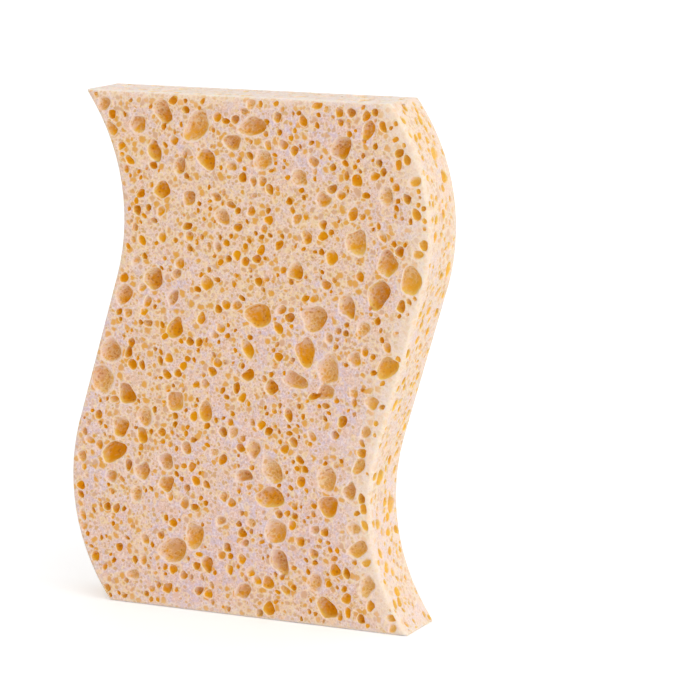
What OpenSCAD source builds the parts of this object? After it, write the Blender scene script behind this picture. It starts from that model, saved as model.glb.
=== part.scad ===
// Cellulose sponge, standing on one short end.
// One solid: a slab whose two long sides follow the same wave, with the open
// pores of the foam cut into all six of its faces.
// Z is up, X runs across the broad faces, and the front broad face looks to -Y.

/* [Slab] */
// Height of the sponge as it stands, which is its longest side
sponge_h = 119; // [90:1:150]
// Width of a broad face, measured level from one wavy side to the other
sponge_w = 76; // [55:1:100]
// Thickness between the two broad faces
sponge_t = 15; // [12:0.5:30]

/* [Wave] */
// How far a crest of the wave stands off the straight line of its side
wave_rise = 7.2; // [4:0.2:9]
// Height of a crest above or below the middle, as a share of the sponge's height
crest_share = 0.26; // [0.23:0.005:0.28]
// How much steeper the straight flank leans than a line from the middle to the crest
flank_gain = 0.28; // [0.2:0.02:0.6]

/* [Broad face pores] */
// Diameter of the largest pores, which lie in the two broad faces
broad_d = 6.6; // [4:0.2:8]
// Foam left between two of the largest pores where they lie closest
broad_wall = 0.2; // [0.1:0.1:6]

/* [Narrow face pores] */
// Diameter of the largest pores in the two wavy sides and the two ends
narrow_d = 4.4; // [2:0.1:5]
// Foam left between two of these pores where they lie closest
narrow_wall = 0.8; // [0.1:0.1:6]

/* [Hidden] */

foam_colour = [0.93, 0.78, 0.60];
// Sides of a full circle where it is drawn as a mesh
arc_fn = 180;
pore_fn = 14;

// Smallest pore of a face as a share of its largest
small_share = 0.34;
// Most pores are small: this power of an even chance sets how few are large
rarity = 3;
// How far behind its face a pore's centre lies, as shares of its radius
shallow_sink = -0.25;
deep_sink = 0.4;

// A side has a straight flank through its middle that runs into a round crest at one end
// and a round hollow at the other. Both are arcs of one radius that the flank touches.
half_h = sponge_h / 2;
crest_reach = crest_share * sponge_h;
flank_lean = (1 + flank_gain) * atan(wave_rise / crest_reach);
flank_reach = (wave_rise - crest_reach * tan(flank_lean / 2))
    / (tan(flank_lean) - tan(flank_lean / 2));
wave_r = (crest_reach - flank_reach) / sin(flank_lean);
// The flank stands proud of both arcs by a hair, so that it crosses them cleanly
flank_proud = 0.02;

// How far the wave moves a side at a height above the foot
function wave_at(z) =
    let (up = z - half_h)
    abs(up) <= flank_reach
        ? up * tan(flank_lean)
        : sign(up) * (wave_rise - wave_r + sqrt(wave_r * wave_r - pow(abs(up) - crest_reach, 2)));

// How many cells, each wide enough for a largest pore and the foam round it, fit along a length
function cells(length, largest, wall) = max(1, floor(length / (largest + wall)));

// All that lies left of a side, about the middle of that side
module left_of_side() {
    crest_x = wave_rise - wave_r;
    flank_x = flank_reach * tan(flank_lean);
    difference() {
        intersection() {
            union() {
                polygon([
                    [-2 * sponge_w, -half_h],
                    [wave_rise, -half_h],
                    [flank_proud - flank_x, -flank_reach],
                    [flank_proud + flank_x, flank_reach],
                    [crest_x, half_h],
                    [-2 * sponge_w, half_h]]);
                translate([crest_x, crest_reach])
                    circle(r = wave_r, $fn = arc_fn);
            }
            translate([-2 * sponge_w, -half_h])
                square([3 * sponge_w, sponge_h]);
        }
        translate([-crest_x, -crest_reach])
            circle(r = wave_r, $fn = arc_fn);
    }
}

// The two sides are one curve, so the outline is what lies left of one and right of the other
module outline() {
    translate([sponge_w / 2, 0])
        difference() {
            left_of_side();
            translate([-sponge_w, 0]) left_of_side();
        }
}

module slab() {
    translate([0, sponge_t / 2, half_h])
        rotate([90, 0, 0])
            linear_extrude(height = sponge_t)
                outline();
}

// Pores for a face that spans width and height about its middle: one to a cell, and each
// moved about inside its own. Every other column of cells has one cell fewer and starts half
// a cell higher. A pore is [across, up, diameter, depth of its centre].
function pores(width, height, largest, wall, seed) =
    let (columns = cells(width, largest, wall), rows = cells(height, largest, wall),
        cell_w = width / columns, cell_h = height / rows)
    [for (column = [0 : columns - 1])
        let (raised = rows > 2 ? column % 2 : 0)
        for (row = [0 : rows - 1 - raised])
            let (chance = rands(0, 1, 4, seed + column * rows + row),
                d = largest * (small_share + (1 - small_share) * pow(chance[0], rarity)))
            [(column + 0.5) * cell_w - width / 2 + (chance[2] - 0.5) * max(0, cell_w - d),
                (row + 0.5 + raised / 2) * cell_h - height / 2
                    + (chance[3] - 0.5) * max(0, cell_h - d),
                d,
                d / 2 * (shallow_sink + (deep_sink - shallow_sink) * chance[1])]];

// The bubble of one pore, where the face looks to +Z
module bubble(pore) {
    translate([0, 0, -pore[3]])
        sphere(d = pore[2], $fn = pore_fn);
}

// Drawn flat, and then stood up on the front face. The pores follow the wave.
module broad_pores(seed) {
    translate([0, -sponge_t / 2, half_h])
        rotate([90, 0, 0])
            for (pore = pores(sponge_w, sponge_h, broad_d, broad_wall, seed))
                translate([pore.x + wave_at(half_h + pore.y), pore.y, 0])
                    bubble(pore);
}

// The pores of a wavy side, each moved out to the side where it lies
module side_pores(side, seed) {
    for (pore = pores(sponge_t, sponge_h, narrow_d, narrow_wall, seed))
        translate([side * sponge_w / 2 + wave_at(half_h + pore.y), pore.x, half_h + pore.y])
            rotate([0, side * 90, 0])
                bubble(pore);
}

module end_pores(seed) {
    for (pore = pores(sponge_w, sponge_t, narrow_d, narrow_wall, seed))
        translate([pore.x, pore.y, 0])
            bubble(pore);
}

// The pores go into one pair of faces after another, the back before the narrow faces
module sponge() {
    color(foam_colour)
        difference() {
            difference() {
                difference() {
                    difference() {
                        slab();
                        broad_pores(1000);
                    }
                    mirror([0, 1, 0]) broad_pores(2000);
                }
                side_pores(1, 3000);
                side_pores(-1, 4000);
            }
            translate([wave_at(sponge_h), 0, sponge_h]) end_pores(5000);
            translate([wave_at(0), 0, 0]) mirror([0, 0, 1]) end_pores(6000);
        }
}

sponge();
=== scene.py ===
import math

import bmesh
import bpy
import numpy as np
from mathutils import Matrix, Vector, noise


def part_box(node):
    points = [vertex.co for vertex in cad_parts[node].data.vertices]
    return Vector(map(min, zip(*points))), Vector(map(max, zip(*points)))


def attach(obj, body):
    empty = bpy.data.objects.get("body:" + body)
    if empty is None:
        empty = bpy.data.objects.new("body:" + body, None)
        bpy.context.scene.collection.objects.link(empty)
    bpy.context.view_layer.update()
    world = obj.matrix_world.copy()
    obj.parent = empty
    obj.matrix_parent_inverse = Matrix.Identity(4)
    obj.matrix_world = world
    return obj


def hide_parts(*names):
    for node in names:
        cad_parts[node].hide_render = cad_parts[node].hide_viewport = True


# The looks of a cellulose sponge: the slab of the frame, cut with irregular pores where the
# frame has its round ones, with the finer pores between them, and a foam material.
# Lengths are in millimetres until a mesh is made.
MM = 0.001

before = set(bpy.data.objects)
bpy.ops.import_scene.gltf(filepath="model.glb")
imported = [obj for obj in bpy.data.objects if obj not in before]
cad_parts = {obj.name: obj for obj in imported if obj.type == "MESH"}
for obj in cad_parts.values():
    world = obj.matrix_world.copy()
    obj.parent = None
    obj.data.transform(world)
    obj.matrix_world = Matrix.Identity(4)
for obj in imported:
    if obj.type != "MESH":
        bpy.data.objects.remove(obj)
bpy.context.view_layer.update()

# Form of the slab, as in the part's source
WAVE_RISE = 7.2
CREST_SHARE = 0.26
FLANK_GAIN = 0.28
WIDTH = 76.0

low, high = (np.array(corner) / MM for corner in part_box("sponge"))
HEIGHT = high[2] - low[2]
THICK = high[1] - low[1]
HALF_H = HEIGHT / 2
CREST_REACH = CREST_SHARE * HEIGHT
LEAN = (1 + FLANK_GAIN) * math.atan(WAVE_RISE / CREST_REACH)
FLANK_REACH = (WAVE_RISE - CREST_REACH * math.tan(LEAN / 2)) / (
    math.tan(LEAN) - math.tan(LEAN / 2))
WAVE_R = (CREST_REACH - FLANK_REACH) / math.sin(LEAN)

# The six faces, in the order of every list that has a value for each
FRONT, BACK, RIGHT, LEFT, TOP, FOOT = range(6)

# The slab's mesh: its first stations in from each end of a length, the longest step along a
# wavy side, how far its edges are rounded and in how many steps, the least angle of such an
# edge in radians, and how close in metres two points are one
FIRST_STATIONS = np.array([0.0, 1.4, 3.2])
SIDE_STEP = 3.0
EDGE_ROUND = 0.8
EDGE_STEPS = 3
EDGE_ANGLE = 1
SAME_POINT_M = 1e-6

# What makes a group of the frame's corners a pore: how many there are at least, how deep the
# deepest lies, how far they may lie off their ball, and the largest radius of that ball
FEWEST_CORNERS = 12
LEAST_DEPTH = 0.3
FLAW = 0.02
LARGEST_BALL = 5

# A pore's tone, from 0 for a pale dish to 1 for an ochre hole: its mean at some radii, how
# much a deep pore adds, as painted shade, and how widely chance spreads it
TONE_RADII = (0.4, 0.7, 1.3, 2.0)
TONES = (0.55, 0.8, 0.62, 0.28)
TONE_OF_DEPTH_SHADE = 0.4
TONE_SPREAD = 0.32

# Finer pores between those of the frame: smallest and largest diameter, and how many to a
# square centimetre of face, and how many times as many on the wavy sides
FINE_PORES = (
    (1.6, 2.4, 2.3),
    (1.0, 1.6, 4.0),
)
SIDE_CROWD = 1.5

# How deep a fine pore is, in radii
FINE_DEPTH = (0.6, 1.9)

# How far apart the crowded patches lie, how likely a place is taken anywhere, and how much
# more or less likely in a patch
CLOUD = 6.0
EVEN_CHANCE = 0.6
CLOUD_CHANCE = 0.9

# How many places are tried for a fine pore, how many of them are moved up to a neighbour,
# the thinnest wall that two pores have between them, how many such walls a moved pore leaves,
# and how much of one is enough in the end
TRIES = 14
MOVED_SHARE = 0.7
THIN_WALL = 0.12
MOVED_WALLS = (1.0, 2.5)
ENOUGH_WALL = 0.9

# How far a fine pore's middle lies at least from the next face: in radii, and a bit more
FROM_EDGE = 0.9
FROM_EDGE_MORE = 0.25

# Forms of the pores: above the first radius a pore is middling and above the second large
MIDDLING = 1.0
LARGE = 1.8
SMALL_SIDES = 8
MIDDLING_SIDES = 12
LARGE_SIDES = 18

# The mean angle of a pore's long way on its face and its spread, in degrees, and how many
# times as long as wide a mouth is at most
TURN = 78
TURN_SPREAD = 38
LONGEST = 1.6

# Waves in a pore's outline: how many go round, and how far each stands off it, which chance
# makes smaller or larger
OUTLINE_WAVES = ((2, 0.06), (3, 0.09), (4, 0.06), (5, 0.04))
WAVE_CHANCE = (0.3, 1.3)

# A pore's mouth: how high its cutting body stands above the face and its peak above that,
# how deep the bevelled lip goes, and how much wider it is at the face in a hole, and more so
# in a dish
ABOVE = 0.3
CAP = 0.02
LIP = 0.1
FLARE = 0.14
DISH_FLARE = 0.28

# Rings of a pore below its lip: how deep, as a share of its depth, and how wide, as a share
# of its mouth, in a dish and in a hole. A small pore has a steep mouth and one ring.
RINGS = ((0.3, 0.84, 0.97), (0.6, 0.62, 0.85), (0.87, 0.34, 0.52))
SMALL_MOUTH = 1.1
SMALL_RING = (0.6, 0.62, 0.82)

# How far the end of a pore lies aside from its mouth, in radii, and how much of the
# outline's waves is left below half its depth
ASIDE = 0.16
CALM = 0.6

# Thinnest foam between a pore and a face beside its own
EDGE_WALL = 0.55

# Painted glow: how far in from each face the foam beside it is painted paler, and how much.
# It stands in for light that shines into the foam near its edges, most of it from the right.
GLOW_REACH = np.array([3.5, 3.5, 6.5, 2.2, 3.5, 3.0])
PAINTED_GLOW = np.array([0.6, 0.6, 1.0, 0.3, 0.5, 0.4])

# Painted shade: which way a pore's lower right lies, along and up its face, where its inside
# is painted darker and more ochre, and how far in radii it counts
SHADED_LOWER_RIGHT = (0.5, -0.85)
FURTHEST_SHADE_SLANT = 1.5

# Depth given to a pore's corners that lie in the cut face
MOUTH_DEPTH = 0.03

rng = np.random.default_rng(7164)


def wave_at(z):
    """How far the wave moves a side at heights above the foot."""
    up = np.asarray(z, float) - HALF_H
    drop = np.sqrt(np.maximum(WAVE_R ** 2 - (np.abs(up) - CREST_REACH) ** 2, 0))
    arc = np.sign(up) * (WAVE_RISE - WAVE_R + drop)
    return np.where(np.abs(up) <= FLANK_REACH, up * math.tan(LEAN), arc)


def slope_at(z):
    """How steeply the side leans there."""
    hair = 0.01
    return (wave_at(np.asarray(z) + hair) - wave_at(np.asarray(z) - hair)) / (2 * hair)


def depths(points):
    """How deep points lie behind each of the six faces."""
    x, y, z = points.T
    off = x - wave_at(np.clip(z, 0, HEIGHT))
    square = np.cos(np.arctan(slope_at(np.clip(z, 0, HEIGHT))))
    return np.stack([
        y + THICK / 2,
        THICK / 2 - y,
        (WIDTH / 2 - off) * square,
        (WIDTH / 2 + off) * square,
        HEIGHT - z,
        z,
    ])


def face_frame(face, z):
    """The directions along, up and out of a face at a height."""
    if face in (FRONT, BACK):
        out = -1.0 if face == FRONT else 1.0
        return np.array([-out, 0, 0]), np.array([0, 0, 1.0]), np.array([0, out, 0])
    if face in (RIGHT, LEFT):
        side = 1.0 if face == RIGHT else -1.0
        lean = math.atan(float(slope_at(z)))
        up = np.array([math.sin(lean), 0, math.cos(lean)])
        out = side * np.array([math.cos(lean), 0, -math.sin(lean)])
        return np.array([0, side, 0]), up, out
    out = 1.0 if face == TOP else -1.0
    return np.array([1.0, 0, 0]), np.array([0, out, 0]), np.array([0, 0, out])


def onto(face, place):
    """The place on a face that lies nearest."""
    x, y, z = place
    z = min(max(z, 0.0), HEIGHT)
    if face in (FRONT, BACK):
        return np.array([x, (-1 if face == FRONT else 1) * THICK / 2, z])
    if face in (RIGHT, LEFT):
        side = 1 if face == RIGHT else -1
        return np.array([side * WIDTH / 2 + float(wave_at(z)), y, z])
    return np.array([x, y, HEIGHT if face == TOP else 0.0])


def read(items, field, kind, width=1):
    """One value or vector of each item of a mesh."""
    values = np.empty(len(items) * width, kind)
    items.foreach_get(field, values)
    return values.reshape(-1, width) if width > 1 else values


def islands(count, first, second):
    """For each corner, the lowest number among the corners that edges join it to."""
    island = np.arange(count)
    while True:
        lowest = np.minimum(island[first], island[second])
        before = island.copy()
        np.minimum.at(island, first, lowest)
        np.minimum.at(island, second, lowest)
        island = island[island]
        if (island == before).all():
            return island


def frame_balls():
    """Centre and radius of the ball that each round face of the frame's sponge lies on.

    A group of corners that lies in one plane is on no ball.
    """
    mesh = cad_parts["sponge"].data
    points = read(mesh.vertices, "co", float, 3) / MM
    first, second = read(mesh.edges, "vertices", int, 2).T
    island = islands(len(points), first, second)
    balls = []
    for name in np.unique(island):
        some = points[island == name]
        if len(some) < FEWEST_CORNERS or depths(some).min(0).max() < LEAST_DEPTH:
            continue
        system = np.hstack([2 * some, np.ones((len(some), 1))])
        found, _, rank, _ = np.linalg.lstsq(system, (some ** 2).sum(1), rcond=None)
        if rank < 4:
            continue
        centre = found[:3]
        radius = math.sqrt(max(found[3] + centre @ centre, 0))
        off = np.abs(np.linalg.norm(some - centre, axis=1) - radius).max()
        if off < FLAW and radius < LARGEST_BALL:
            balls.append((centre, radius))
    return balls


class Pore:
    """An opening in a face: where it is, its mouth's mean radius and how deep it goes."""

    def __init__(self, face, place, radius, depth):
        self.face = face
        self.place = place
        self.radius = radius
        self.depth = depth
        self.along, self.up, self.out = face_frame(face, place[2])
        bold = float(np.interp(radius, TONE_RADII, TONES))
        # Painted shade: a deeper pore is made more of a dark ochre hole
        bold += TONE_OF_DEPTH_SHADE * (depth / radius - 1)
        self.tone = float(np.clip(bold + rng.normal(0, TONE_SPREAD), 0, 1))


def pores_of_frame():
    """The frame's pores, each on the face that its centre lies nearest."""
    found = []
    for centre, radius in frame_balls():
        behind = depths(centre[None])[:, 0]
        face = int(np.abs(behind).argmin())
        sink = behind[face]
        out = face_frame(face, centre[2])[2]
        mouth = math.sqrt(radius ** 2 - max(sink, 0) ** 2)
        found.append(Pore(face, centre + out * sink, mouth, radius + sink))
    return found


def spot_on(face):
    """A place on a face, drawn by chance, more often where the foam is crowded with pores."""
    while True:
        a, b, c = rng.random(3) - 0.5
        z = HALF_H + b * HEIGHT
        place = onto(face, (a * WIDTH + float(wave_at(z)), c * THICK, z))
        crowd = EVEN_CHANCE + CLOUD_CHANCE * noise.noise(Vector(place / CLOUD))
        if rng.random() < crowd:
            return place


def room_for(face, radius, places, radii):
    """A place on a face with room for a pore, or None. Most places are next to a neighbour."""
    for _ in range(TRIES):
        place = spot_on(face)
        away = np.linalg.norm(np.array(places) - place, axis=1)
        gaps = away - np.array(radii) - radius
        near = int(gaps.argmin())
        if rng.random() < MOVED_SHARE and gaps[near] > THIN_WALL:
            step = gaps[near] - rng.uniform(*MOVED_WALLS) * THIN_WALL
            place = onto(face, place + (places[near] - place) / away[near] * step)
            away = np.linalg.norm(np.array(places) - place, axis=1)
            gaps = away - np.array(radii) - radius
        inside = np.sort(depths(place[None])[:, 0])[1]
        if gaps.min() > THIN_WALL * ENOUGH_WALL and inside > radius * FROM_EDGE + FROM_EDGE_MORE:
            return place
    return None


def fine_pores(found):
    """Adds the finer pores where there is room between the others, large ones first."""
    broad = WIDTH * HEIGHT
    side = THICK * HEIGHT * SIDE_CROWD
    end = WIDTH * THICK
    for face, area in enumerate((broad, broad, side, side, end, end)):
        taken = [pore for pore in found if pore.face == face]
        places = [pore.place for pore in taken]
        radii = [pore.radius for pore in taken]
        for smallest, largest, to_cm2 in FINE_PORES:
            for _ in range(int(area / 100 * to_cm2)):
                radius = rng.uniform(smallest, largest) / 2
                place = room_for(face, radius, places, radii)
                if place is None:
                    continue
                places.append(place)
                radii.append(radius)
                depth = radius * rng.uniform(*FINE_DEPTH)
                found.append(Pore(face, place, radius, depth))
    return found


def pore_rings(pore):
    """The rings of a pore's body: how wide, as a share of its mouth, and how high."""
    dish, hole = 1 - pore.tone, pore.tone
    if pore.radius > MIDDLING:
        flare = (FLARE + DISH_FLARE * dish) / pore.radius
        mouth = [(1 + flare * (LIP + ABOVE) / LIP, ABOVE), (1.0, -LIP)]
        below = RINGS
    else:
        mouth = [(SMALL_MOUTH, ABOVE)]
        below = (SMALL_RING,)
    return mouth + [(in_dish * dish + in_hole * hole, -share * pore.depth)
        for share, in_dish, in_hole in below]


def pore_body(pore):
    """A closed body to cut a pore with: a bevelled mouth, soft sides and a round end."""
    sides = SMALL_SIDES
    if pore.radius > MIDDLING:
        sides = MIDDLING_SIDES
    if pore.radius > LARGE:
        sides = LARGE_SIDES
    turn = rng.normal(math.radians(TURN), math.radians(TURN_SPREAD))
    aspect = rng.uniform(1.0, LONGEST)
    long = pore.radius * math.sqrt(aspect)
    short = pore.radius / math.sqrt(aspect)
    angle = np.arange(sides) * math.tau / sides
    soft = np.ones(sides)
    for order, amount in OUTLINE_WAVES:
        height = amount * rng.uniform(*WAVE_CHANCE)
        soft += height * np.cos(order * angle + rng.uniform(0, math.tau))
    rings = pore_rings(pore)
    lean = rng.normal(0, ASIDE, 2) * pore.radius
    points = []
    for share, height in rings:
        wobble = 1 + (soft - 1) * (1.0 if height > -pore.depth / 2 else CALM)
        a = long * share * wobble * np.cos(angle)
        b = short * share * wobble * np.sin(angle)
        x = a * math.cos(turn) - b * math.sin(turn) + lean[0] * max(-height, 0) / pore.depth
        y = a * math.sin(turn) + b * math.cos(turn) + lean[1] * max(-height, 0) / pore.depth
        points.append(pore.place + np.outer(x, pore.along) + np.outer(y, pore.up)
            + pore.out * height)
    top = pore.place + pore.out * (ABOVE + CAP)
    end = pore.place + pore.along * lean[0] + pore.up * lean[1] - pore.out * pore.depth
    points = np.vstack(points + [top[None], end[None]])
    return kept_inside(pore.face, points), tube_faces(sides, len(rings))


def kept_inside(face, points):
    """Points moved in from all faces but one, so that a pore opens in its own face alone."""
    points = points.copy()
    behind = depths(points)
    for other in range(6):
        if other == face:
            continue
        for i in np.flatnonzero(behind[other] < EDGE_WALL):
            out = face_frame(other, points[i][2])[2]
            points[i] -= out * (EDGE_WALL - behind[other][i])
    return points


def tube_faces(sides, rings):
    """Triangles of a closed tube: its rings, then the middle of its first end and its last."""
    faces = []
    first, last = rings * sides, rings * sides + 1
    for i in range(sides):
        j = (i + 1) % sides
        faces.append((first, i, j))
        for ring in range(rings - 1):
            a, b = ring * sides + i, ring * sides + j
            faces.append((a, a + sides, b + sides))
            faces.append((a, b + sides, b))
        faces.append((last, (rings - 1) * sides + j, (rings - 1) * sides + i))
    return faces


def mesh_object(name, points, faces):
    """An object of points and faces."""
    mesh = bpy.data.meshes.new(name)
    mesh.from_pydata((np.asarray(points) * MM).tolist(), [], faces)
    mesh.update()
    obj = bpy.data.objects.new(name, mesh)
    bpy.context.scene.collection.objects.link(obj)
    return obj


def number_faces(obj, pores):
    """Gives each face the number of the pore that it belongs to, or -1 for the slab's own."""
    obj.data.attributes.new("pore", "INT", "FACE").data.foreach_set("value", pores)


def stations(length, step):
    """Places along a length: close together near both ends, then no more than a step apart."""
    inset = FIRST_STATIONS[-1]
    count = max(2, math.ceil((length - 2 * inset) / step) + 1)
    middle = np.linspace(inset, length - inset, count)
    return np.concatenate([FIRST_STATIONS[:-1], middle, length - FIRST_STATIONS[-2::-1]])


def slab_object():
    """The uncut slab, with its wavy sides in short steps and all its edges rounded."""
    across = stations(WIDTH, WIDTH) - WIDTH / 2
    through = stations(THICK, THICK) - THICK / 2
    heights = stations(HEIGHT, SIDE_STEP)
    grids = []
    for side in (0, -1):
        grids.append([[(x, through[side], z) for x in across] for z in heights])
        grids.append([[(across[side], y, z) for y in through] for z in heights])
        grids.append([[(x, y, heights[side]) for x in across] for y in through])
    points = []
    faces = []
    for grid in grids:
        rows, columns = len(grid), len(grid[0])
        start = len(points)
        points += [spot for row in grid for spot in row]
        for i in range(rows - 1):
            for j in range(columns - 1):
                a = start + i * columns + j
                faces.append((a, a + 1, a + columns + 1, a + columns))
    points = np.array(points)
    points[:, 0] += wave_at(points[:, 2])
    slab = mesh_object("sponge_foam", points, faces)
    shape = bmesh.new()
    shape.from_mesh(slab.data)
    bmesh.ops.remove_doubles(shape, verts=shape.verts, dist=SAME_POINT_M)
    bmesh.ops.recalc_face_normals(shape, faces=shape.faces)
    edges = [edge for edge in shape.edges if edge.calc_face_angle(0) > EDGE_ANGLE]
    bmesh.ops.bevel(shape, geom=edges, offset=EDGE_ROUND * MM, segments=EDGE_STEPS,
        profile=0.5, affect="EDGES", clamp_overlap=True)
    shape.to_mesh(slab.data)
    shape.free()
    return slab


def batches_of(bodies):
    """The bodies in batches, each of bodies that are clear of each other."""
    batches = []
    for number, (points, faces) in enumerate(bodies):
        centre = points.mean(0)
        reach = np.linalg.norm(points - centre, axis=1).max()
        for batch in batches:
            away = np.linalg.norm(np.array(batch["centres"]) - centre, axis=1)
            if (away > np.array(batch["reaches"]) + reach).all():
                break
        else:
            batch = {"centres": [], "reaches": [], "points": [], "faces": [], "pores": [],
                "count": 0}
            batches.append(batch)
        batch["centres"].append(centre)
        batch["reaches"].append(reach)
        batch["points"].append(points)
        batch["faces"] += [tuple(corner + batch["count"] for corner in face) for face in faces]
        batch["pores"] += [number] * len(faces)
        batch["count"] += len(points)
    return batches


def cut(slab, bodies):
    """Cuts closed bodies out of the slab, one batch after another."""
    number_faces(slab, [-1] * len(slab.data.polygons))
    tools = []
    for batch in batches_of(bodies):
        tool = mesh_object("cutter", np.vstack(batch["points"]), batch["faces"])
        number_faces(tool, batch["pores"])
        modifier = slab.modifiers.new("cut", "BOOLEAN")
        modifier.operation = "DIFFERENCE"
        modifier.solver = "MANIFOLD"
        modifier.object = tool
        tools.append(tool)
    graph = bpy.context.evaluated_depsgraph_get()
    mesh = bpy.data.meshes.new_from_object(slab.evaluated_get(graph))
    slab.modifiers.clear()
    slab.data = mesh
    for tool in tools:
        bpy.data.objects.remove(tool)


def finish_mesh(mesh, found):
    """Smooth pores with crisp mouths, and what the material needs to know of each corner.

    depth: how far behind the cut face, in millimetres. down: what share of its pore's depth
    that is. tone: that of its pore. slant: how far towards the lower right of its pore, in
    radii, where painted shade falls. pale: how much of a painted glow an edge close by gives
    the foam. side: 1 on the wavy sides. end: 1 on the two ends.
    """
    mesh.shade_smooth()
    points = read(mesh.vertices, "co", float, 3) / MM
    pore = np.repeat(read(mesh.attributes["pore"].data, "value", int),
        read(mesh.polygons, "loop_total", int))
    cut_sides = np.bincount(read(mesh.loops, "edge_index", int), weights=pore >= 0,
        minlength=len(mesh.edges))
    mouths = mesh.attributes.new("sharp_edge", "BOOLEAN", "EDGE")
    mouths.data.foreach_set("value", cut_sides == 1)
    corners = points[read(mesh.loops, "vertex_index", int)]

    def of_pore(name):
        """A value of the pore that each corner belongs to."""
        return np.array([getattr(p, name) for p in found])[pore]

    uncut = pore < 0
    behind = depths(corners).min(0)
    places = of_pore("place")
    face = np.where(uncut, depths(corners).argmin(0), of_pore("face"))
    # Painted glow: foam close to another face is painted paler, most beside the right side,
    # where light shines in
    near = PAINTED_GLOW[:, None] * (
        1 - depths(np.where(uncut[:, None], corners, places)) / GLOW_REACH[:, None])
    near[face, np.arange(len(face))] = 0
    # Painted shade: how far towards its lower right a corner lies, where its pore is painted
    # darker
    lower_right = SHADED_LOWER_RIGHT[0] * of_pore("along") + SHADED_LOWER_RIGHT[1] * of_pore("up")
    slant = ((corners - places) * lower_right).sum(1) / of_pore("radius")
    values = {
        "depth": np.where(uncut, 0, np.clip(behind, MOUTH_DEPTH, None)),
        "down": np.where(uncut, 0, behind / of_pore("depth")),
        "tone": of_pore("tone"),
        "slant": np.clip(slant, -FURTHEST_SHADE_SLANT, FURTHEST_SHADE_SLANT),
        "pale": np.clip(near.max(0), 0, 1),
        "side": (face == RIGHT) | (face == LEFT),
        "end": (face == TOP) | (face == FOOT),
    }
    mesh.attributes.remove(mesh.attributes["pore"])
    for name, value in values.items():
        attribute = mesh.attributes.new(name, "FLOAT", "CORNER")
        attribute.data.foreach_set("value", value.astype(np.float32))


def srgb(red, green, blue):
    """A colour read off a screen, as the renderer wants it."""
    values = [c / 255 for c in (red, green, blue)]
    linear = [c / 12.92 if c <= 0.04045 else ((c + 0.055) / 1.055) ** 2.4 for c in values]
    return (*linear, 1.0)


# Colours of the cut faces
FACE_LILAC = srgb(222, 199, 208)
FACE_PINK = srgb(234, 197, 178)
FACE_GOLD = srgb(240, 200, 144)
FACE_WHITE = srgb(253, 238, 234)
# Painted light: a cream for the lit look of the wavy sides and the glow beside the edges
GLOW_CREAM = srgb(251, 233, 213)
# Whiter ends: partly the pale tips of their walls, partly painted glare
END_GLARE_WHITE = srgb(255, 244, 236)
GRAIN_TAN = srgb(202, 169, 146)

# Colours of the finest cells and the walls round them
CELL_TAN = srgb(220, 174, 136)
CELL_GREY = srgb(214, 178, 150)
CELL_OCHRE = srgb(230, 166, 60)
CELL_OLIVE = srgb(216, 168, 84)
WALL_PALE = srgb(248, 222, 207)
RIM_CREAM = srgb(250, 221, 166)

# Colours of the pores. The foam inside is its own ochre; the second colour of a dish and of a
# hole is painted darker, as painted shade deep in a pore and to its lower right
DISH_MOUTH = srgb(239, 208, 190)
DISH_SHADED = srgb(229, 175, 108)
HOLE_MOUTH = srgb(238, 199, 104)
HOLE_SHADED = srgb(236, 165, 12)
# Painted light: the gold of pores on faces painted as if strongly lit
LIT_GOLD = srgb(248, 212, 108)
# Painted shade: the dark of small inner cells deep in a pore
SPECK_SHADE = srgb(196, 116, 40)

# How many features of each pattern go to a metre
PATCHES = 65
CROWDS = 160
SPECK_FIELDS = 300
BLUSHES = 600
HUES = 650
SPECKS = 1100
ROUGHNESS = 2000
GRAINS = 2200

# How much less ochre the patches are at the foot, how much more at the top, and how high
# that is in metres
PATCH_AT_FOOT = -0.08
PATCH_AT_TOP = 0.12
PATCH_TOP_M = 0.12

# The finest cells, in layers: how wide they are in millimetres, and what share of them is
# open in sparse and in crowded foam
CELL_LAYERS = {
    "coarse": (1.8, 0.4, 0.9),
    "middling": (1.15, 0.45, 0.9),
    "fine": (0.65, 0.4, 0.8),
}

# How each layer looks in a cut face, the finest first: how strongly its cells show, the
# second colour that they may have, and the colour of the walls round them
FACE_CELLS = (
    ("fine", 0.65, CELL_GREY, WALL_PALE),
    ("middling", 0.8, CELL_OLIVE, WALL_PALE),
    ("coarse", 0.9, CELL_OCHRE, RIM_CREAM),
)

# How far the finest cells bend, in cells, and how far they reach, from small to large
CELL_BEND = 0.8
CELL_REACH = (0.34, 0.6)

# How strongly the paler colours lie: over the wavy sides, as painted light; beside the edges,
# as a painted glow; and on the ends, partly for the pale tips of the walls seen there and
# partly as painted glare
SIDE_LIT_PALER = 0.35
GLOW_PALER = 0.8
END_GLARE_PALER = 0.55

# How strongly the pores turn golden, as painted light, on the narrow faces and in the painted
# glow beside the edges
NARROW_LIT_GOLDEN = 0.6
GLOW_GOLDEN = 0.5

# What makes a spot in a pore more of an ochre hole, besides the pore's tone: how far it lies
# to the lower right, as painted shade, its hue, and the wide patches
HOLE_BY_SHADE_SLANT = 0.42
HOLE_BY_HUE = 1.8
HOLE_BY_PATCH = 0.9

# How high each layer stands in the relief
CELL_RELIEF = (("coarse", 1.0), ("fine", 0.5), ("middling", 0.8))

# The foam's gloss, its depth of relief, and how much light spreads in it and how far
FOAM_ROUGHNESS = 0.85
FOAM_GLOSS = 0.15
RELIEF = 0.08
RELIEF_STRENGTH = 0.45
SOFTNESS = 0.3
SOFT_REACH = (1.8, 1.0, 0.5)


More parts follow.
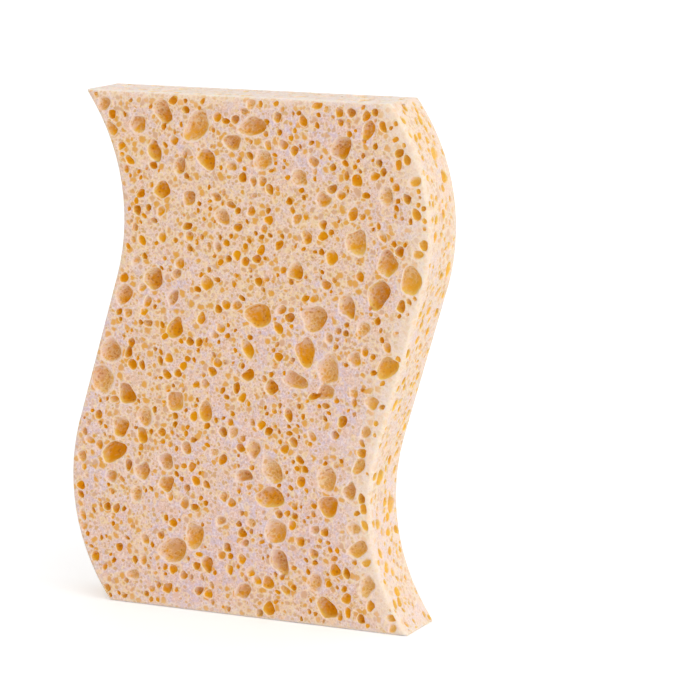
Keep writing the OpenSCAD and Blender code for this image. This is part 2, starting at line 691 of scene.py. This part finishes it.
class Nodes:
    """Short ways to add nodes to a tree."""

    def __init__(self, tree):
        self.tree = tree

    def add(self, kind, **settings):
        node = self.tree.nodes.new(kind)
        for name, value in settings.items():
            setattr(node, name, value)
        return node

    def put(self, socket, value):
        """Sets a socket to a plain value, or links another socket to it."""
        if isinstance(value, (int, float, tuple)):
            socket.default_value = value
        else:
            self.tree.links.new(value, socket)

    def math(self, operation, a, b):
        node = self.add("ShaderNodeMath", operation=operation)
        self.put(node.inputs[0], a)
        self.put(node.inputs[1], b)
        return node.outputs[0]

    def sum(self, total, *others):
        for other in others:
            total = self.math("ADD", total, other)
        return total

    def times(self, a, b):
        return self.math("MULTIPLY", a, b)

    def vector(self, operation, a, b):
        """The sum or difference of two vectors, or a vector made longer by a number."""
        node = self.add("ShaderNodeVectorMath", operation=operation)
        self.put(node.inputs[0], a)
        self.put(node.inputs["Scale" if operation == "SCALE" else 1], b)
        return node.outputs[0]

    def ramp(self, value, low, high, to_low=0.0, to_high=1.0):
        """A value carried softly from one range to another, and held at its ends."""
        node = self.add("ShaderNodeMapRange", interpolation_type="SMOOTHSTEP")
        self.put(node.inputs["Value"], value)
        self.put(node.inputs["From Min"], low)
        self.put(node.inputs["From Max"], high)
        self.put(node.inputs["To Min"], to_low)
        self.put(node.inputs["To Max"], to_high)
        return node.outputs["Result"]

    def mix(self, share, a, b):
        node = self.add("ShaderNodeMix", data_type="RGBA")
        self.put(node.inputs[0], share)
        self.put(node.inputs[6], a)
        self.put(node.inputs[7], b)
        return node.outputs[2]

    def lay(self, under, over, mask, strength):
        """A colour with another laid over it as strongly as a mask and a number say."""
        return self.mix(self.times(mask, strength), under, over)

    def noise(self, place, scale, detail, roughness=0.5):
        node = self.add("ShaderNodeTexNoise")
        self.put(node.inputs["Vector"], place)
        self.put(node.inputs["Scale"], scale)
        self.put(node.inputs["Detail"], detail)
        self.put(node.inputs["Roughness"], roughness)
        return node.outputs

    def cells(self, place, scale):
        node = self.add("ShaderNodeTexVoronoi")
        self.put(node.inputs["Vector"], place)
        self.put(node.inputs["Scale"], scale)
        return node.outputs


def open_cells():
    """Group: the finest open cells of a cut face, too small to be cut in the mesh."""
    tree = bpy.data.node_groups.new("open_cells", "ShaderNodeTree")
    for name, kind in (("Vector", "Vector"), ("Cells per metre", "Float"),
            ("Share open", "Float")):
        tree.interface.new_socket(name=name, in_out="INPUT", socket_type="NodeSocket" + kind)
    for name in ("Pit", "Rim", "Shade"):
        tree.interface.new_socket(name=name, in_out="OUTPUT", socket_type="NodeSocketFloat")
    n = Nodes(tree)
    given = n.add("NodeGroupInput").outputs
    result = n.add("NodeGroupOutput").inputs
    place = given["Vector"]
    scale = given["Cells per metre"]

    # The cells bend a little, so that they aren't straight-sided
    bend = n.vector("SUBTRACT", n.noise(place, scale, 1)["Color"], (0.5, 0.5, 0.5))
    bend = n.vector("SCALE", bend, n.math("DIVIDE", CELL_BEND, scale))
    cell = n.cells(n.vector("ADD", place, bend), scale)

    # By chance, each cell is open or not, small or large, and has one shade or another
    chance = n.add("ShaderNodeSeparateColor")
    n.put(chance.inputs[0], cell["Color"])
    opened = n.math("LESS_THAN", chance.outputs[0], given["Share open"])
    reach = n.ramp(chance.outputs[2], 0, 1, *CELL_REACH)
    out = n.math("DIVIDE", cell["Distance"], reach)
    pit = n.ramp(out, 0.5, 0.95, 1.0, 0.0)
    rim = n.times(n.ramp(out, 0.75, 0.95), n.ramp(out, 1.05, 1.4, 1.0, 0.0))
    n.put(result["Pit"], n.times(opened, pit))
    n.put(result["Rim"], n.times(opened, rim))
    n.put(result["Shade"], chance.outputs[1])
    return tree


def ochre_patches(n, place):
    """Wide patches where the foam is more ochre, most of them high up."""
    height = n.add("ShaderNodeSeparateXYZ")
    n.put(height.inputs[0], place)
    higher = n.ramp(height.outputs[2], 0, PATCH_TOP_M, PATCH_AT_FOOT, PATCH_AT_TOP)
    return n.math("SUBTRACT", n.sum(n.noise(place, PATCHES, 1)["Fac"], higher), 0.5)


def cell_layers(n, place, patch):
    """The finest cells in each size, more of them open in some patches than in others."""
    crowd = n.sum(n.noise(place, CROWDS, 2)["Fac"], n.times(patch, 0.9))
    crowd = n.ramp(crowd, 0.35, 0.65)
    tree = open_cells()
    layers = {}
    for name, (size, few, many) in CELL_LAYERS.items():
        node = n.add("ShaderNodeGroup", node_tree=tree)
        n.put(node.inputs["Vector"], place)
        n.put(node.inputs["Cells per metre"], 1 / (size * MM))
        n.put(node.inputs["Share open"], n.ramp(crowd, 0, 1, few, many))
        layers[name] = node.outputs
    return layers


def cut_face(n, place, patch, layers, at):
    """The cut faces: lilac and pink foam with a fine grain, and pale walls round tan pits."""
    blush = n.noise(place, BLUSHES, 3, 0.65)["Fac"]
    face = n.mix(n.ramp(blush, 0.4, 0.6), FACE_LILAC, FACE_PINK)
    face = n.mix(n.ramp(patch, -0.08, 0.25, 0, 0.4), face, FACE_GOLD)
    grain = n.noise(place, GRAINS, 1)["Fac"]
    face = n.mix(n.ramp(grain, 0.54, 0.7, 0, 0.55), face, GRAIN_TAN)
    face = n.mix(n.ramp(grain, 0.46, 0.3, 0, 0.55), face, FACE_WHITE)
    for name, strength, second, wall in FACE_CELLS:
        layer = layers[name]
        face = n.lay(face, wall, layer["Rim"], 0.5)
        pit = n.mix(n.ramp(layer["Shade"], 0.25, 0.75), CELL_TAN, second)
        face = n.lay(face, pit, layer["Pit"], strength)
    # Painted light: the wavy sides are painted paler, as if strongly lit
    face = n.lay(face, GLOW_CREAM, at["side"], SIDE_LIT_PALER)
    # Painted glow: paler foam beside the edges, most beside the right side, where light shines
    # in
    face = n.lay(face, GLOW_CREAM, at["pale"], GLOW_PALER)
    # Whiter ends: partly the pale tips of their walls, partly painted glare
    return n.lay(face, END_GLARE_WHITE, at["end"], END_GLARE_PALER)


def pore_colour(n, place, patch, hue, layers, at):
    """The pores: a pale dish with the finest cells in it, or an ochre hole with specks of
    painted shade, more ochre and darker to the lower right and deeper in, as painted shade, and
    paler near the edges and on the narrow faces, as painted light.
    """
    # Painted shade: deeper in a pore its colour turns darker and more ochre
    low = n.ramp(n.sum(at["down"], n.times(hue, 0.8)), 0.1, 0.8)
    # Painted shade: the dish is painted darker towards its lower right and deeper in
    fall = n.sum(n.sum(at["slant"], low), n.times(hue, 1.5))
    dish = n.mix(n.ramp(fall, -0.5, 1.4), DISH_MOUTH, DISH_SHADED)
    for name, cell in (("fine", CELL_OLIVE), ("middling", CELL_OCHRE)):
        dish = n.lay(dish, RIM_CREAM, layers[name]["Rim"], 0.5)
        dish = n.lay(dish, cell, layers[name]["Pit"], 0.6)
    # Painted shade: a hole is painted darker deeper in
    hole = n.mix(low, HOLE_MOUTH, HOLE_SHADED)
    # Painted shade: the lower right of a pore turns more to a dark ochre hole
    strong = n.sum(at["tone"], n.times(at["slant"], HOLE_BY_SHADE_SLANT),
        n.times(hue, HOLE_BY_HUE), n.times(patch, HOLE_BY_PATCH))
    pore = n.mix(n.ramp(strong, 0.15, 0.95), dish, hole)
    # Painted shade: dark specks deep in the pores, small inner cells painted dark where shade
    # falls in them
    field = n.ramp(n.noise(place, SPECK_FIELDS, 2)["Fac"], 0.44, 0.54)
    specks = n.ramp(n.cells(place, SPECKS)["Distance"], 0.15, 0.45, 1.0, 0.0)
    specks = n.times(n.times(specks, field), n.ramp(at["depth"], 0.5, 1.2))
    pore = n.lay(pore, SPECK_SHADE, specks, 0.6)
    # Painted light: pores turn golden on the narrow faces and in the painted glow beside the
    # edges
    narrow = n.times(n.math("MAXIMUM", at["side"], at["end"]), NARROW_LIT_GOLDEN)
    beside = n.times(at["pale"], GLOW_GOLDEN)
    return n.mix(n.math("MAXIMUM", narrow, beside), pore, LIT_GOLD)


def foam_colour(n, face, pore, hue, at):
    """The cut face passes into the pores over a ragged, thin and pale rim."""
    ragged = n.times(at["depth"], n.sum(n.times(hue, 2.5), 1.0))
    inside = n.mix(n.ramp(ragged, 0.1, 0.4), RIM_CREAM, pore)
    soft = n.math("SUBTRACT", 0.85, n.times(at["tone"], 0.7))
    colour = n.mix(n.ramp(n.math("DIVIDE", ragged, soft), 0.0, 1.0), face, inside)
    rim = n.times(n.ramp(at["depth"], 0, 0.04), n.ramp(ragged, 0.08, 0.25, 0.55, 0))
    return n.mix(rim, colour, WALL_PALE)


def foam_relief(n, place, layers, at):
    """Fine relief, as a normal: rims stand up, pits sink, and the pores are rough."""
    lift = n.times(n.noise(place, ROUGHNESS, 3, 0.7)["Fac"],
        n.ramp(at["depth"], 0.1, 0.6, 0.8, 2.5))
    for name, strength in CELL_RELIEF:
        layer = n.math("SUBTRACT", layers[name]["Rim"], layers[name]["Pit"])
        lift = n.sum(lift, n.times(layer, strength))
    bump = n.add("ShaderNodeBump")
    bump.inputs["Strength"].default_value = RELIEF_STRENGTH
    bump.inputs["Distance"].default_value = RELIEF * MM
    n.put(bump.inputs["Height"], lift)
    return bump.outputs["Normal"]


def foam_material():
    """The foam: matt, with light spread in it, and the colour and relief made above."""
    material = bpy.data.materials.new("cellulose_foam")
    material.use_nodes = True
    n = Nodes(material.node_tree)
    place = n.add("ShaderNodeTexCoord").outputs["Object"]
    at = {}
    for name in ("depth", "down", "tone", "slant", "pale", "side", "end"):
        at[name] = n.add("ShaderNodeAttribute", attribute_name=name).outputs["Fac"]
    patch = ochre_patches(n, place)
    hue = n.math("SUBTRACT", n.noise(place, HUES, 2, 0.6)["Fac"], 0.5)
    layers = cell_layers(n, place, patch)
    face = cut_face(n, place, patch, layers, at)
    pore = pore_colour(n, place, patch, hue, layers, at)
    shader = material.node_tree.nodes["Principled BSDF"].inputs
    n.put(shader["Base Color"], foam_colour(n, face, pore, hue, at))
    n.put(shader["Normal"], foam_relief(n, place, layers, at))
    shader["Roughness"].default_value = FOAM_ROUGHNESS
    shader["Specular IOR Level"].default_value = FOAM_GLOSS
    shader["Subsurface Weight"].default_value = SOFTNESS
    shader["Subsurface Radius"].default_value = SOFT_REACH
    shader["Subsurface Scale"].default_value = MM
    return material


def sponge():
    """The foam block, cut with its pores."""
    found = fine_pores(pores_of_frame())
    bodies = [pore_body(pore) for pore in found]
    slab = slab_object()
    cut(slab, bodies)
    finish_mesh(slab.data, found)
    slab.data.materials.clear()
    slab.data.materials.append(foam_material())
    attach(slab, "root")
    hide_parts("sponge")


# The camera, from a fit of the sponge's corners and sides in the photograph: its focal length
# in pixels of a picture this wide, how far it looks down and to the left, how far away it
# stands and how far aside of the sponge's middle, and how high
FOCAL_PX = 3229.5
FRAME_PX = 700
PITCH = 0.1812
YAW = 0.4356
AWAY = 719.9
SHIFT = -20.4
EYE = 192.6
SENSOR = 36.0
NEAREST_M = 0.05
FURTHEST_M = 10

# The floor's half width in metres, its colour and roughness, and how much brighter it looks
# than the light on it makes it
FLOOR_HALF_M = 4.0
FLOOR_WHITE = (0.94, 0.94, 0.94, 1)
FLOOR_ROUGHNESS = 0.9
FLOOR_GLOW = 0.24

# How strongly the surround lights the sponge, and how strong it looks itself
SURROUND_LIGHT = 0.66
SURROUND_SEEN = 1.0
WHITE = (1, 1, 1, 1)


def camera():
    """The camera, where the photograph was taken from."""
    data = bpy.data.cameras.new("camera")
    data.sensor_width = SENSOR
    data.lens = SENSOR * FOCAL_PX / FRAME_PX
    data.clip_start = NEAREST_M
    data.clip_end = FURTHEST_M
    obj = bpy.data.objects.new("camera", data)
    c, s = math.cos(YAW), math.sin(YAW)
    obj.location = ((-SHIFT * c + AWAY * s) * MM, (-SHIFT * s - AWAY * c) * MM, EYE * MM)
    obj.rotation_euler = (math.pi / 2 - PITCH, 0, YAW)
    bpy.context.scene.collection.objects.link(obj)
    bpy.context.scene.camera = obj


def sun(name, source, strength, spread):
    """A soft lamp far away, in the direction of source, that lights the whole floor alike."""
    data = bpy.data.lights.new(name, "SUN")
    data.energy = strength
    data.angle = math.radians(spread)
    obj = bpy.data.objects.new(name, data)
    obj.rotation_euler = Vector(source).to_track_quat("Z", "Y").to_euler()
    bpy.context.scene.collection.objects.link(obj)


def seen_directly(n):
    """1 for rays from the camera, off a glossy surface or through glass, and 0 for the rest."""
    path = n.add("ShaderNodeLightPath").outputs
    through = n.math("MAXIMUM", path["Is Glossy Ray"], path["Is Transmission Ray"])
    return n.math("MAXIMUM", path["Is Camera Ray"], through)


def floor():
    """A white floor."""
    half = FLOOR_HALF_M / MM
    plane = mesh_object("floor", [(-half, -half, 0), (half, -half, 0), (half, half, 0),
        (-half, half, 0)], [(0, 1, 2, 3)])
    material = bpy.data.materials.new("floor_white")
    material.use_nodes = True
    shader = material.node_tree.nodes["Principled BSDF"].inputs
    shader["Base Color"].default_value = FLOOR_WHITE
    shader["Roughness"].default_value = FLOOR_ROUGHNESS
    shader["Emission Color"].default_value = WHITE
    n = Nodes(material.node_tree)
    n.put(shader["Emission Strength"], n.ramp(seen_directly(n), 0, 1, 0, FLOOR_GLOW))
    plane.data.materials.append(material)


def surround():
    """A white surround."""
    world = bpy.data.worlds.new("surround")
    bpy.context.scene.world = world
    world.use_nodes = True
    n = Nodes(world.node_tree)
    back = world.node_tree.nodes["Background"].inputs
    n.put(back["Strength"], n.ramp(seen_directly(n), 0, 1, SURROUND_LIGHT, SURROUND_SEEN))
    back["Color"].default_value = WHITE


camera()
floor()
surround()
sun("key", (0.95, -0.5, 0.35), strength=1.5, spread=75)
sun("above", (0, 0, 1), strength=0.3, spread=60)
sponge()

scene = bpy.context.scene
scene.view_settings.view_transform = "Standard"

bpy.context.view_layer.update()
